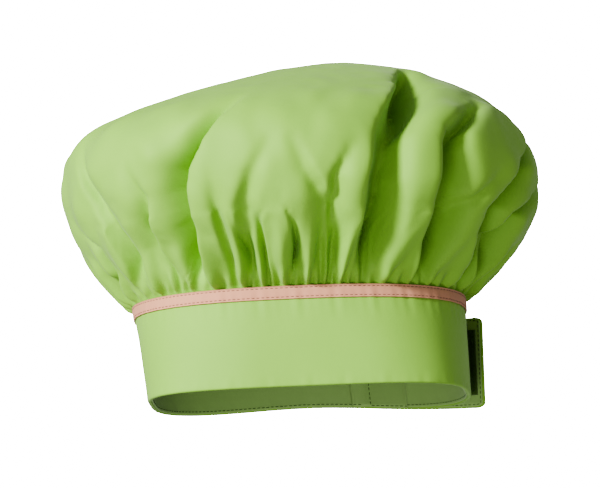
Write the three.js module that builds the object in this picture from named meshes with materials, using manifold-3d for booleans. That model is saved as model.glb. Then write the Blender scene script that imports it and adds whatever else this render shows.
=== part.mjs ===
// A chef's toque: a round of cloth gathered into a stand-up headband, with a contrast tape over the seam
// and a hook-and-loop tail that closes the band. Millimetres, +Z up. The origin is on the resting plane
// under the middle of the crown; +X is the side where the band closes, and -Y the side where it is unbroken.
import * as THREE from "three";
import { mergeVertices } from "three/addons/utils/BufferGeometryUtils.js";
import Module from "manifold-3d";

const wasm = await Module();
wasm.setup();

const DEG = Math.PI / 180;
const { lerp, smoothstep } = THREE.MathUtils;

// Headband ring, outside sizes.
const BAND_HEIGHT = 60;
const RING_TOP = { halfLength: 100, halfWidth: 77, shift: -3.3 };
const RING_FOOT = { halfLength: 96.5, halfWidth: 76, shift: 1.9 };
const RING_SQUARENESS = 2.4; // exponent of the superellipse: 2 would be an ellipse
const RING_STEP_DEG = 5;
const STRIP_STEP_DEG = 2.5;
const BAND_START_DEG = 50; // the covered end, under the tail when the band is closed
const BAND_END_DEG = 70 - 360; // the root of the tail, reached clockwise round the front
const EDGE_RISE = 6; // the foot of the band arches up this much at the back
const RISE_FROM_DEG = 20;
const RISE_TO_DEG = 170;

// Cloth layers, counted inwards from the outside of the band.
const CLOTH = 0.6;
const LAYER_GAP = 0.35;
const INTERLINING = 0.8;
const CROWN_CLOTH = 0.9;
const CORE_OUT = -CLOTH - LAYER_GAP; // outer face of the interlining and of the crown's seam allowance
const CORE_IN = CORE_OUT - CROWN_CLOTH;
const LINING_OUT = CORE_IN - 0.7; // room for the gathering thread
const LINING_IN = LINING_OUT - CLOTH;
const SEAM_ALLOWANCE = 8;

// Trim, thread and closure.
const TAPE_WIDTH = 8;
const TAPE_DROP = 0.2; // the tape stops this far below the top of the band
const TAPE_EDGE_TO_STITCH = 1.3;
const THREAD = 0.4;
const THREAD_GAP = 0.15;
const PILE = 1.2; // thickness of a hook or loop strip
const STRIP_MARGIN = 8; // from a strip to the edge of the band above and below
const LOOP_FROM_DEG = 45;
const LOOP_TO_DEG = 10;
const HOOK_LENGTH = 28;
const HOOK_FROM_TIP = 4;
const BOX_STITCH_INSET = 2;
const HEM_STITCH_HEIGHT = 2.4;
const END_STITCH_INSET_DEG = 1.5; // from the band's covered end
const END_STITCH_LOW = 3;
const END_STITCH_HIGH = 50;

// Tail: the free end of the band, swung a little way open.
const TAIL_LENGTH = 78;
const TAIL_TOP = 57;
const TAIL_START_DEG = 14; // heading of its root, from +X towards +Y
const TAIL_END_DEG = -32; // heading of its tip
const TAIL_FOOT_RISE = 4; // at the root; the tip just clears the ground
const TAIL_CLEARANCE = 0.4;
const TAIL_CORNER = 6;
const CORNER_SHARE = 0.6; // cloth corners turn out blunter than their pattern
const HINGE_GAP = 3.4; // bare cloth between the band's end and the tail's root

// Crown.
const CROWN_HALF_LENGTH = 145;
const CROWN_HALF_WIDTH = 130;
const CROWN_WIDEST = 131; // height of the widest part
const CROWN_TOP = 205;
const SLOPE_END = { radius: 105, height: 178 }; // where the top's slope meets the shoulder
const CROWN_NECK = 60.6; // height where the cloth turns out over the tape
const CROWN_HEM = 58.4; // between the band's two ends the cloth stops here, hemmed
const CROWN_HEM_STITCH = 59.5;
const CROWN_DROOP_DEG = 1.5; // the crown slumps towards the closure
const CROWN_TOP_SHIFT = 28; // and its top leans the same way
const CROWN_LOBES = 12;
const CROWN_LOBE_DEPTH = 3;
const CROWN_SEGMENTS = 360 / RING_STEP_DEG;

const CLOTH_GREEN = new THREE.MeshStandardMaterial({ color: 0x9cc45f, roughness: 0.9, metalness: 0 });
const LINING_GREEN = new THREE.MeshStandardMaterial({ color: 0x86ac55, roughness: 0.9, metalness: 0 });
const INTERLINING_WHITE = new THREE.MeshStandardMaterial({ color: 0xece9de, roughness: 0.95, metalness: 0 });
const TAPE_ROSE = new THREE.MeshStandardMaterial({ color: 0xc69f8a, roughness: 0.75, metalness: 0 });
const THREAD_ROSE = new THREE.MeshStandardMaterial({ color: 0x9f7a68, roughness: 0.7, metalness: 0 });
const THREAD_GREEN = new THREE.MeshStandardMaterial({ color: 0x55803a, roughness: 0.7, metalness: 0 });
const PILE_OLIVE = new THREE.MeshStandardMaterial({ color: 0x3c4a1e, roughness: 0.95, metalness: 0 });

const toque = new THREE.Group();

function add(name, geometry, material) {
  const mesh = new THREE.Mesh(geometry, material);
  mesh.name = name;
  toque.add(mesh);
  return mesh;
}

// A signed power, so that a superellipse can be written for all four quadrants at once.
function signedPower(value, exponent) {
  return Math.sign(value) * Math.abs(value) ** exponent;
}

// The distance from the middle of a superellipse to its edge, in the direction of an angle in radians.
function superRadius(angle, halfLength, halfWidth, exponent) {
  const across = Math.abs(Math.cos(angle) / halfLength) ** exponent;
  const along = Math.abs(Math.sin(angle) / halfWidth) ** exponent;
  return (across + along) ** (-1 / exponent);
}

// How far the foot of the band is lifted at an angle in degrees.
function footRise(degrees) {
  const turned = THREE.MathUtils.euclideanModulo(degrees, 360);
  if (turned < RISE_FROM_DEG || turned > RISE_TO_DEG) return 0;
  return EDGE_RISE * Math.sin((Math.PI * (turned - RISE_FROM_DEG)) / (RISE_TO_DEG - RISE_FROM_DEG)) ** 2;
}

// A point of the band: its angle round the ring, its height, and its offset out from the outer face.
function bandPoint(degrees, height, offset) {
  const up = height / BAND_HEIGHT;
  const a = lerp(RING_FOOT.halfLength, RING_TOP.halfLength, up);
  const b = lerp(RING_FOOT.halfWidth, RING_TOP.halfWidth, up);
  const angle = degrees * DEG;
  const radius = superRadius(angle, a, b, RING_SQUARENESS);
  const x = radius * Math.cos(angle);
  const y = radius * Math.sin(angle);
  const out = new THREE.Vector2(
    signedPower(x / a, RING_SQUARENESS - 1) / a,
    signedPower(y / b, RING_SQUARENESS - 1) / b,
  ).normalize();
  return new THREE.Vector3(
    x + lerp(RING_FOOT.shift, RING_TOP.shift, up) + out.x * offset,
    y + out.y * offset,
    height + footRise(degrees) * (1 - up),
  );
}

// Moves every vertex of a straight prism, extruded from 0 to 1, to where place(along, offset, height) says.
function bend(geometry, place) {
  const position = geometry.attributes.position;
  for (let i = 0; i < position.count; i++) {
    const to = place(position.getZ(i), position.getX(i), position.getY(i));
    position.setXYZ(i, to.x, to.y, to.z);
  }
  return geometry;
}

function prism(section, steps) {
  const shape = new THREE.Shape(section.map(([offset, height]) => new THREE.Vector2(offset, height)));
  return new THREE.ExtrudeGeometry(shape, { depth: 1, steps, bevelEnabled: false });
}

function rectangle(inner, outer, low, high) {
  return [
    [inner, low],
    [outer, low],
    [outer, high],
    [inner, high],
  ];
}

// A strip of cloth of the given section, wrapped round the whole band.
function wrapBand(section) {
  const steps = Math.round((BAND_START_DEG - BAND_END_DEG) / RING_STEP_DEG);
  return bend(prism(section, steps), (along, offset, height) =>
    bandPoint(lerp(BAND_START_DEG, BAND_END_DEG, along), height, offset),
  );
}

// A shorter strip on the band, between two angles.
function wrapPatch(section, fromDeg, toDeg) {
  const steps = Math.ceil(Math.abs(toDeg - fromDeg) / STRIP_STEP_DEG);
  return bend(prism(section, steps), (along, offset, height) =>
    bandPoint(lerp(fromDeg, toDeg, along), height, offset),
  );
}

// The tail turns about an upright axis in the bare cloth between the band's end and its own root.
const tailMiddleOffset = LINING_IN / 2;
const hinge = (() => {
  const before = bandPoint(BAND_END_DEG + 1, BAND_HEIGHT / 2, tailMiddleOffset);
  const end = bandPoint(BAND_END_DEG, BAND_HEIGHT / 2, tailMiddleOffset);
  return end.clone().add(end.clone().sub(before).setLength(HINGE_GAP / 2));
})();
const TAIL_CURVE_RADIUS = TAIL_LENGTH / ((TAIL_START_DEG - TAIL_END_DEG) * DEG);

// The height of the tail's foot at a share of its length.
function tailFoot(along) {
  return TAIL_CLEARANCE + TAIL_FOOT_RISE * (1 - along);
}

// How much the rounded corners take off the tail's top and foot at a share of its length.
function cornerTrim(along) {
  const inCorner = Math.max(0, TAIL_CORNER - (1 - along) * TAIL_LENGTH);
  return CORNER_SHARE * (TAIL_CORNER - Math.sqrt(Math.max(0, TAIL_CORNER ** 2 - inCorner ** 2)));
}

// A point of the tail: its share of the length from the root, its offset out from the outer face, its height.
// The root leans like the band's end, and the lean dies out towards the tip.
function tailPoint(along, offset, height) {
  const start = TAIL_START_DEG * DEG;
  const heading = lerp(TAIL_START_DEG, TAIL_END_DEG, along) * DEG;
  const out = offset - tailMiddleOffset;
  const low = tailFoot(along) + cornerTrim(along);
  const high = TAIL_TOP - cornerTrim(along);
  const z = lerp(low, high, height / TAIL_TOP);
  const end = bandPoint(BAND_END_DEG, z, tailMiddleOffset);
  const middle = bandPoint(BAND_END_DEG, BAND_HEIGHT / 2, tailMiddleOffset);
  const lean = end.sub(middle).multiplyScalar(Math.max(0, 1 - along));
  const rootX = hinge.x + (Math.cos(start) * HINGE_GAP) / 2;
  const rootY = hinge.y + (Math.sin(start) * HINGE_GAP) / 2;
  return new THREE.Vector3(
    rootX + lean.x + TAIL_CURVE_RADIUS * (Math.sin(start) - Math.sin(heading)) - Math.sin(heading) * out,
    rootY + lean.y + TAIL_CURVE_RADIUS * (Math.cos(heading) - Math.cos(start)) + Math.cos(heading) * out,
    z,
  );
}
const TAIL_STEPS = 16;

function bendTail(section, from = 0, to = 1) {
  const steps = Math.max(2, Math.round(TAIL_STEPS * (to - from)));
  return bend(prism(section, steps), (along, offset, height) =>
    tailPoint(lerp(from, to, along), offset, height),
  );
}

function solidOf(geometry) {
  const bare = geometry.index ? geometry.toNonIndexed() : geometry.clone();
  bare.deleteAttribute("normal");
  bare.deleteAttribute("uv");
  const merged = mergeVertices(bare, 1e-3);
  return new wasm.Manifold(
    new wasm.Mesh({
      numProp: 3,
      vertProperties: merged.attributes.position.array,
      triVerts: new Uint32Array(merged.index.array),
    }),
  );
}

function geometryOf(solid) {
  const { vertProperties, triVerts } = solid.getMesh();
  return new THREE.BufferGeometry()
    .setAttribute("position", new THREE.BufferAttribute(vertProperties, 3))
    .setIndex(new THREE.BufferAttribute(triVerts, 1));
}

// A rectangular run of box stitching: a strip of thread with its middle left out.
function stitchedBox(wrap, from, to, low, high, inner, outer) {
  const lengthStep = THREAD / Math.abs(to.length);
  const whole = solidOf(wrap(rectangle(inner, outer, low, high), from.at, to.at));
  const share = lengthStep * (to.at - from.at);
  const middle = solidOf(
    wrap(
      rectangle(inner - THREAD, outer + THREAD, low + THREAD, high - THREAD),
      from.at + share,
      to.at - share,
    ),
  );
  return geometryOf(whole.subtract(middle));
}

function makeBand() {
  const foldedOver = [
    [0, 0],
    [0, BAND_HEIGHT],
    [-CLOTH, BAND_HEIGHT],
    [-CLOTH, CLOTH],
    [LINING_IN, CLOTH],
    [LINING_IN, 0],
  ];
  const coreTop = BAND_HEIGHT - SEAM_ALLOWANCE - 1;
  add("band_outer", wrapBand(foldedOver), CLOTH_GREEN);
  add(
    "band_interlining",
    wrapBand(rectangle(CORE_OUT - INTERLINING, CORE_OUT, CLOTH + LAYER_GAP, coreTop)),
    INTERLINING_WHITE,
  );
  add(
    "band_lining",
    wrapBand(rectangle(LINING_IN, LINING_OUT, CLOTH + LAYER_GAP, BAND_HEIGHT)),
    LINING_GREEN,
  );
}

// A single run of sewing thread along the band, lying on a face at the given offset.
function threadAt(offset, height, facing = 1) {
  const near = offset + facing * THREAD_GAP;
  const far = near + facing * THREAD;
  return wrapBand(
    rectangle(Math.min(near, far), Math.max(near, far), height - THREAD / 2, height + THREAD / 2),
  );
}

function makeTrim() {
  const top = BAND_HEIGHT - TAPE_DROP;
  const low = top - TAPE_WIDTH;
  const inner = LAYER_GAP;
  const outer = inner + CLOTH;
  add("contrast_tape", wrapBand(rectangle(inner, outer, low, top)), TAPE_ROSE);
  add("tape_upper_stitch", threadAt(outer, top - TAPE_EDGE_TO_STITCH), THREAD_ROSE);
  add("tape_lower_stitch", threadAt(outer, low + TAPE_EDGE_TO_STITCH), THREAD_ROSE);
  add("hem_stitch", threadAt(LINING_IN, HEM_STITCH_HEIGHT, -1), THREAD_GREEN);
  add("gathering_thread", threadAt(CORE_IN, BAND_HEIGHT - SEAM_ALLOWANCE / 2, -1), THREAD_GREEN);

  const onCrown = CORE_OUT + THREAD_GAP;
  const gapFrom = BAND_START_DEG + RING_STEP_DEG / 2;
  const gapTo = BAND_END_DEG + 360 - RING_STEP_DEG / 2;
  const hem = rectangle(
    onCrown,
    onCrown + THREAD,
    CROWN_HEM_STITCH - THREAD / 2,
    CROWN_HEM_STITCH + THREAD / 2,
  );
  add("crown_hem_stitch", wrapPatch(hem, gapTo, gapFrom), THREAD_GREEN);

  const stitchFrom = BAND_START_DEG - END_STITCH_INSET_DEG;
  const threadDegrees = THREAD / (RING_TOP.halfLength * DEG);
  const end = rectangle(THREAD_GAP, THREAD_GAP + THREAD, END_STITCH_LOW, END_STITCH_HIGH);
  add("end_stitch", wrapPatch(end, stitchFrom, stitchFrom - threadDegrees), THREAD_GREEN);
}

function makeClosure() {
  const stripLow = STRIP_MARGIN;
  const stripHigh = TAIL_TOP - STRIP_MARGIN;
  const loopInner = LAYER_GAP;
  const loopOuter = loopInner + PILE;
  add(
    "loop_strip",
    wrapPatch(rectangle(loopInner, loopOuter, stripLow, stripHigh), LOOP_FROM_DEG, LOOP_TO_DEG),
    PILE_OLIVE,
  );
  const inset = BOX_STITCH_INSET;
  const loopLength = bandPoint(LOOP_FROM_DEG, stripLow, 0).distanceTo(bandPoint(LOOP_TO_DEG, stripLow, 0));
  const loopInset = (inset / loopLength) * (LOOP_TO_DEG - LOOP_FROM_DEG);
  add(
    "loop_strip_stitch",
    stitchedBox(
      wrapPatch,
      { at: LOOP_FROM_DEG + loopInset },
      { at: LOOP_TO_DEG - loopInset, length: loopLength - 2 * inset },
      stripLow + inset,
      stripHigh - inset,
      loopOuter + THREAD_GAP,
      loopOuter + THREAD_GAP + THREAD,
    ),
    THREAD_GREEN,
  );

  const hookTo = 1 - HOOK_FROM_TIP / TAIL_LENGTH;
  const hookFrom = hookTo - HOOK_LENGTH / TAIL_LENGTH;
  const hookOuter = LINING_IN - LAYER_GAP;
  const hookInner = hookOuter - PILE;
  add(
    "hook_strip",
    bendTail(rectangle(hookInner, hookOuter, stripLow, stripHigh), hookFrom, hookTo),
    PILE_OLIVE,
  );
  add(
    "hook_strip_stitch",
    stitchedBox(
      bendTail,
      { at: hookFrom + inset / TAIL_LENGTH },
      { at: hookTo - inset / TAIL_LENGTH, length: HOOK_LENGTH - 2 * inset },
      stripLow + inset,
      stripHigh - inset,
      hookInner - THREAD_GAP - THREAD,
      hookInner - THREAD_GAP,
    ),
    THREAD_GREEN,
  );
}

// The tail is a flat bag: an outer cloth turned in at the foot, top and tip, an interlining and a lining.
function makeTail() {
  const whole = solidOf(bendTail(rectangle(LINING_IN, 0, 0, TAIL_TOP)));
  const tip = 1 - CLOTH / TAIL_LENGTH;
  const hollow = solidOf(
    bendTail(rectangle(LINING_IN - CLOTH, -CLOTH, CLOTH, TAIL_TOP - CLOTH), -CLOTH / TAIL_LENGTH, tip),
  );
  add("tail_outer", geometryOf(whole.subtract(hollow)), CLOTH_GREEN);
  const inside = CLOTH + LAYER_GAP;
  const insideTip = 1 - inside / TAIL_LENGTH;
  add(
    "tail_interlining",
    bendTail(rectangle(CORE_OUT - INTERLINING, CORE_OUT, inside, TAIL_TOP - inside), 0, insideTip),
    INTERLINING_WHITE,
  );
  add(
    "tail_lining",
    bendTail(rectangle(LINING_IN, LINING_OUT, inside, TAIL_TOP - inside), 0, insideTip),
    LINING_GREEN,
  );
  const edge = 2; // from the tail's edge to its stitching
  add(
    "tail_edge_stitch",
    stitchedBox(
      bendTail,
      { at: edge / TAIL_LENGTH },
      { at: 1 - edge / TAIL_LENGTH, length: TAIL_LENGTH - 2 * edge },
      edge,
      TAIL_TOP - edge,
      LINING_IN - THREAD_GAP - THREAD,
      LINING_IN - THREAD_GAP,
    ),
    THREAD_GREEN,
  );
}

// The crown's outline from its top, down a straight slope, round the shoulder and the widest part and in to the
// neck, then down as seam allowance.
function crownOutline() {
  const neckRadius = RING_TOP.halfLength + CORE_OUT;
  const slope = new THREE.CubicBezierCurve(
    new THREE.Vector2(0, CROWN_TOP),
    new THREE.Vector2(30, CROWN_TOP),
    new THREE.Vector2(64, CROWN_TOP - 9),
    new THREE.Vector2(SLOPE_END.radius, SLOPE_END.height),
  );
  const shoulder = new THREE.CubicBezierCurve(
    new THREE.Vector2(SLOPE_END.radius, SLOPE_END.height),
    new THREE.Vector2(SLOPE_END.radius + 29, SLOPE_END.height - 12.7),
    new THREE.Vector2(CROWN_HALF_LENGTH, CROWN_WIDEST + 22),
    new THREE.Vector2(CROWN_HALF_LENGTH, CROWN_WIDEST),
  );
  const overhang = new THREE.CubicBezierCurve(
    new THREE.Vector2(CROWN_HALF_LENGTH, CROWN_WIDEST),
    new THREE.Vector2(CROWN_HALF_LENGTH, CROWN_WIDEST - 36),
    new THREE.Vector2(neckRadius + 13, CROWN_NECK + 9.4),
    new THREE.Vector2(neckRadius, CROWN_NECK),
  );
  const seamEnd = new THREE.Vector2(neckRadius, BAND_HEIGHT - SEAM_ALLOWANCE);
  const above = [...slope.getPoints(4), ...shoulder.getPoints(5).slice(1)];
  return [...above, ...overhang.getPoints(7).slice(1), seamEnd];
}

// The same outline moved inwards by a thickness, along the bisector at each point.
function insetOutline(outline, thickness) {
  return outline.map((point, i) => {
    const before = outline[Math.max(0, i - 1)];
    const after = outline[Math.min(outline.length - 1, i + 1)];
    const direction = after.clone().sub(before).normalize();
    const inset = new THREE.Vector2(point.x - direction.y * -thickness, point.y - direction.x * thickness);
    return i === 0 ? new THREE.Vector2(0, point.y - thickness) : inset;
  });
}

// The seam allowance hangs inside the band, and is hemmed up between the band's two ends.
function seamPoint(degrees, height, offset) {
  const turned = THREE.MathUtils.euclideanModulo(degrees, 360);
  const betweenEnds = turned > BAND_START_DEG - 1 && turned < BAND_END_DEG + 361;
  return bandPoint(degrees, betweenEnds ? CROWN_HEM : height, offset);
}

// Takes a round crown to its place: oval, gathered onto the ring at the neck, lobed, and slumped to +X.
function shapeCrown(x, y, z) {
  const angle = Math.atan2(y, x);
  const radius = Math.hypot(x, y);
  if (z < BAND_HEIGHT) return seamPoint(angle / DEG, z, radius - RING_TOP.halfLength);
  const neck = bandPoint(angle / DEG, BAND_HEIGHT, radius - RING_TOP.halfLength);
  const oval = superRadius(angle, CROWN_HALF_LENGTH, CROWN_HALF_WIDTH, 2) / CROWN_HALF_LENGTH;
  const wide = new THREE.Vector3(Math.cos(angle), Math.sin(angle), 0).multiplyScalar(oval * radius);
  const spread = (radius - RING_TOP.halfLength) / (CROWN_HALF_LENGTH - RING_TOP.halfLength);
  const onRing = z < CROWN_WIDEST ? 1 - Math.max(0, spread) : 0;
  const swell = Math.sin(Math.PI * smoothstep(z, CROWN_NECK, CROWN_TOP)) * CROWN_LOBE_DEPTH;
  const lobed = 1 + ((Math.cos(CROWN_LOBES * angle) - 1) * swell) / (2 * CROWN_HALF_LENGTH);
  const to = wide.lerp(neck.setZ(0), onRing).multiplyScalar(lobed);
  const slump = smoothstep(z, CROWN_NECK, CROWN_WIDEST) * Math.tan(CROWN_DROOP_DEG * DEG);
  const lean = CROWN_TOP_SHIFT * smoothstep(z, CROWN_WIDEST, CROWN_TOP) ** 2;
  return new THREE.Vector3(to.x + lean, to.y, z - slump * to.x);
}

function makeCrown() {
  const outside = crownOutline();
  const inside = insetOutline(outside, CROWN_CLOTH);
  const lathe = new THREE.LatheGeometry([...inside, ...outside.reverse()], CROWN_SEGMENTS);
  lathe.rotateX(Math.PI / 2);
  const position = lathe.attributes.position;
  for (let i = 0; i < position.count; i++) {
    const to = shapeCrown(position.getX(i), position.getY(i), position.getZ(i));
    position.setXYZ(i, to.x, to.y, to.z);
  }
  add("crown", lathe, CLOTH_GREEN);
}

makeCrown();
makeBand();
makeTrim();
makeTail();
makeClosure();

export default toque;
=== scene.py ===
"""A chef's toque: a gathered cloth crown on a stand-up band, a contrast tape and a hook-and-loop tail."""

import math

import bpy
import numpy as np
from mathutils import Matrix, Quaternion, Vector


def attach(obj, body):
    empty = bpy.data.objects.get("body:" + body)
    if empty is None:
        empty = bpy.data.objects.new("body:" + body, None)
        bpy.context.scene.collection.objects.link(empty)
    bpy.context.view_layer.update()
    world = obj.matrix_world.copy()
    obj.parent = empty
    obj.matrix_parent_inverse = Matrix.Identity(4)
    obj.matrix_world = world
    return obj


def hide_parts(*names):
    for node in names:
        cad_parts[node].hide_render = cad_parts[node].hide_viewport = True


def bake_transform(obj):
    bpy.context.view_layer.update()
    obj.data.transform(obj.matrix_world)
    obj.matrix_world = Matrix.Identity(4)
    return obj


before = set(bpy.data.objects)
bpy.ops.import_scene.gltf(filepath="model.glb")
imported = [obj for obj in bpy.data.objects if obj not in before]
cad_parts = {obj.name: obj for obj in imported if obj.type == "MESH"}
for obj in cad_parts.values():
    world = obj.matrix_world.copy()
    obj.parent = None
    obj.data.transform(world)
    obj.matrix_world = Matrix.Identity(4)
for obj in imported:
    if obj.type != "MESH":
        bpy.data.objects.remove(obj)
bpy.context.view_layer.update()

MM = 0.001
DEG = math.pi / 180

# The headband ring and its cloth layers, as in the CAD model.
BAND_HEIGHT = 60 * MM
RING_TOP = (100 * MM, 77 * MM, -3.3 * MM)  # half length, half width, shift along X
RING_FOOT = (96.5 * MM, 76 * MM, 1.9 * MM)
SQUARENESS = 2.4
FRONT_CREASE = 1.3  # how much squarer the foot of the band is at its two front corners
BAND_START = 50.0  # degrees: the covered end
BAND_END = -290.0  # degrees: the root of the tail, reached clockwise round the front
EDGE_RISE = 6 * MM
RISE_FROM, RISE_TO = 20.0, 170.0
INNER_FACE = -3.15 * MM
SEAM_OFFSET = -0.95 * MM
TAPE_LOW, TAPE_HIGH = 51.8 * MM, 59.8 * MM

# The tail, as in the CAD model.
TAIL_LENGTH = 78 * MM
TAIL_TOP = 57 * MM
TAIL_START, TAIL_END = 14.0, -32.0  # headings in degrees
TAIL_CLEARANCE, TAIL_FOOT_RISE = 0.4 * MM, 4 * MM
TAIL_CORNER, CORNER_SHARE = 6 * MM, 0.6
HINGE_GAP = 3.4 * MM
HOOK_LENGTH, HOOK_FROM_TIP = 28 * MM, 4 * MM
STRIP_LOW, STRIP_HIGH = 8 * MM, 49 * MM
LOOP_FROM, LOOP_TO = 45.0, 10.0
PILE_BASE = 0.5 * MM

# The crown.
CROWN_A, CROWN_B = 145 * MM, 130 * MM
CROWN_WIDEST, CROWN_TOP, CROWN_NECK = 131 * MM, 205 * MM, 60.6 * MM
CROWN_SEAM_END = 52 * MM
CROWN_LEAN = 28 * MM
CROWN_SLUMP = math.tan(1.5 * DEG)


# ---------------------------------------------------------------- shape helpers


def smooth(value, low, high):
    t = np.clip((np.asarray(value, float) - low) / (high - low), 0, 1)
    return t * t * (3 - 2 * t)


def lerp(a, b, t):
    return a + (b - a) * t


def foot_rise(degrees):
    turned = np.mod(degrees, 360)
    inside = (turned > RISE_FROM) & (turned < RISE_TO)
    wave = np.sin(np.pi * (turned - RISE_FROM) / (RISE_TO - RISE_FROM)) ** 2
    return np.where(inside, EDGE_RISE * wave, 0.0)


def band_point(degrees, offset, height):
    """Points of the band: angle round the ring, offset out from the outer face, and height."""
    degrees, offset, height = np.broadcast_arrays(degrees, offset, height)
    up = height / BAND_HEIGHT
    a = lerp(RING_FOOT[0], RING_TOP[0], up)
    b = lerp(RING_FOOT[1], RING_TOP[1], up)
    t = degrees * DEG
    n = SQUARENESS + FRONT_CREASE * (1 - up) * smooth(-np.sin(t), -0.1, 0.35)
    radius = (np.abs(np.cos(t) / a) ** n + np.abs(np.sin(t) / b) ** n) ** (-1 / n)
    x, y = radius * np.cos(t), radius * np.sin(t)
    out_x = np.sign(x) * np.abs(x / a) ** (n - 1) / a
    out_y = np.sign(y) * np.abs(y / b) ** (n - 1) / b
    length = np.hypot(out_x, out_y)
    z = height + foot_rise(degrees) * (1 - up)
    shift = lerp(RING_FOOT[2], RING_TOP[2], up)
    return np.stack([x + shift + out_x / length * offset, y + out_y / length * offset, z], -1)


def even_angles(start, end, step, height=BAND_HEIGHT / 2):
    """Angles at even distances along the band, and the distance of each from the first."""
    fine = np.linspace(start, end, 4001)
    points = band_point(fine, 0.0, height)
    far = np.concatenate([[0], np.cumsum(np.linalg.norm(np.diff(points, axis=0), axis=1))])
    count = max(2, int(round(far[-1] / step)) + 1)
    along = np.linspace(0, far[-1], count)
    return np.interp(along, far, fine), along


def waves(along, seed, rows):
    """A sum of sine waves with seeded phases: rows are (wavelength, height)."""
    rng = np.random.default_rng(seed)
    total = np.zeros_like(np.asarray(along, float))
    for wavelength, height in rows:
        total += height * np.sin(2 * np.pi * np.asarray(along) / wavelength + rng.uniform(0, 2 * np.pi))
    return total


def new_object(name, points, faces, smooth_faces=True, uv=None):
    mesh = bpy.data.meshes.new(name)
    mesh.from_pydata(np.asarray(points, float).tolist(), [], faces)
    mesh.update()
    if smooth_faces:
        mesh.polygons.foreach_set("use_smooth", [True] * len(mesh.polygons))
    if uv is not None:
        layer = mesh.uv_layers.new(name="cloth")
        corner = np.zeros(len(mesh.loops), np.int32)
        mesh.loops.foreach_get("vertex_index", corner)
        layer.data.foreach_set("uv", np.asarray(uv, np.float32)[corner].ravel())
    piece = bpy.data.objects.new(name, mesh)
    bpy.context.scene.collection.objects.link(piece)
    return piece


def loft(name, rings, uv=None):
    """A closed tube of quads through rings of points: rings is an array (stations, points, 3)."""
    rings = np.asarray(rings, float)
    stations, count = rings.shape[:2]
    faces = []
    for i in range(stations - 1):
        a, b = i * count, (i + 1) * count
        for j in range(count):
            k = (j + 1) % count
            faces.append((a + j, a + k, b + k, b + j))
    faces.append(tuple(range(count))[::-1])
    faces.append(tuple(range((stations - 1) * count, stations * count)))
    made = new_object(name, rings.reshape(-1, 3), faces, uv=uv)
    for cap in made.data.polygons[stations * count - count :]:
        cap.use_smooth = False
    return made


def outline(parts):
    """A closed outline of (offset, height) points, in metres, from lists given in millimetres."""
    return np.array([point for part in parts for point in part], float) * MM


def arc(centre, radius, start, end, count):
    """Points in millimetres on an arc in the (offset, height) plane; radius may be a pair."""
    rx, ry = radius if isinstance(radius, tuple) else (radius, radius)
    turns = np.linspace(start, end, count) * DEG
    return [(centre[0] + rx * math.cos(t), centre[1] + ry * math.sin(t)) for t in turns]


def run(start, end, count):
    """Points in millimetres on a straight run, without its last point."""
    steps = np.linspace(0, 1, count, endpoint=False)
    return [(lerp(start[0], end[0], t), lerp(start[1], end[1], t)) for t in steps]


# ---------------------------------------------------------------- materials


def node(tree, kind, inputs=None, **settings):
    made = tree.nodes.new(kind)
    for name, value in settings.items():
        setattr(made, name, value)
    for name, value in (inputs or {}).items():
        socket = made.inputs[name]
        if isinstance(value, bpy.types.NodeSocket):
            tree.links.new(value, socket)
        else:
            socket.default_value = value
    return made


def math_node(tree, operation, a, b=0.0):
    return node(tree, "ShaderNodeMath", {0: a, 1: b}, operation=operation).outputs[0]


def fabric(name, colour, pitch, sheen=0.1, roughness=0.62, twill=False, spread=0.10, bump=0.35, fleck=0.10):
    """Woven cloth: two crossing sets of threads from the flat cloth's own coordinates, in metres."""
    made = bpy.data.materials.new(name)
    made.use_nodes = True
    tree = made.node_tree
    shader = tree.nodes["Principled BSDF"]
    place = node(tree, "ShaderNodeTexCoord")
    flat = node(tree, "ShaderNodeSeparateXYZ", {0: place.outputs["UV"]})
    u, v = flat.outputs["X"], flat.outputs["Y"]
    if twill:
        u, v = math_node(tree, "ADD", u, v), math_node(tree, "MULTIPLY", v, 0.5)
    turns = 2 * math.pi / pitch
    warp = math_node(tree, "SINE", math_node(tree, "MULTIPLY", u, turns))
    weft = math_node(tree, "SINE", math_node(tree, "MULTIPLY", v, turns))
    cross = math_node(tree, "MULTIPLY", warp, weft)
    slub = node(
        tree, "ShaderNodeTexNoise", {"Vector": place.outputs["Object"], "Scale": 900.0, "Detail": 3.0}
    ).outputs["Fac"]
    broad = node(
        tree, "ShaderNodeTexNoise", {"Vector": place.outputs["Object"], "Scale": 14.0, "Detail": 4.0}
    ).outputs["Fac"]
    threads = math_node(tree, "ADD", cross, math_node(tree, "MULTIPLY", slub, 1.6))
    tone = math_node(
        tree,
        "ADD",
        math_node(tree, "MULTIPLY", threads, fleck * 0.35),
        math_node(tree, "MULTIPLY", math_node(tree, "SUBTRACT", broad, 0.5), spread),
    )
    shade = node(
        tree,
        "ShaderNodeHueSaturation",
        {"Color": (*colour, 1.0), "Value": math_node(tree, "ADD", tone, 1.0 - fleck * 0.28)},
    )
    tree.links.new(shade.outputs["Color"], shader.inputs["Base Color"])
    rough = math_node(tree, "ADD", math_node(tree, "MULTIPLY", slub, 0.14), roughness - 0.07)
    tree.links.new(rough, shader.inputs["Roughness"])
    relief = node(
        tree, "ShaderNodeBump", {"Height": threads, "Strength": bump, "Distance": 0.06 * MM}
    )
    wrinkle = node(
        tree,
        "ShaderNodeBump",
        {"Height": broad, "Strength": 0.25, "Distance": 1.2 * MM, "Normal": relief.outputs["Normal"]},
    )
    tree.links.new(wrinkle.outputs["Normal"], shader.inputs["Normal"])
    shader.inputs["Sheen Weight"].default_value = sheen
    shader.inputs["Sheen Roughness"].default_value = 0.5
    shader.inputs["Specular IOR Level"].default_value = 0.3
    return made


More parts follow.
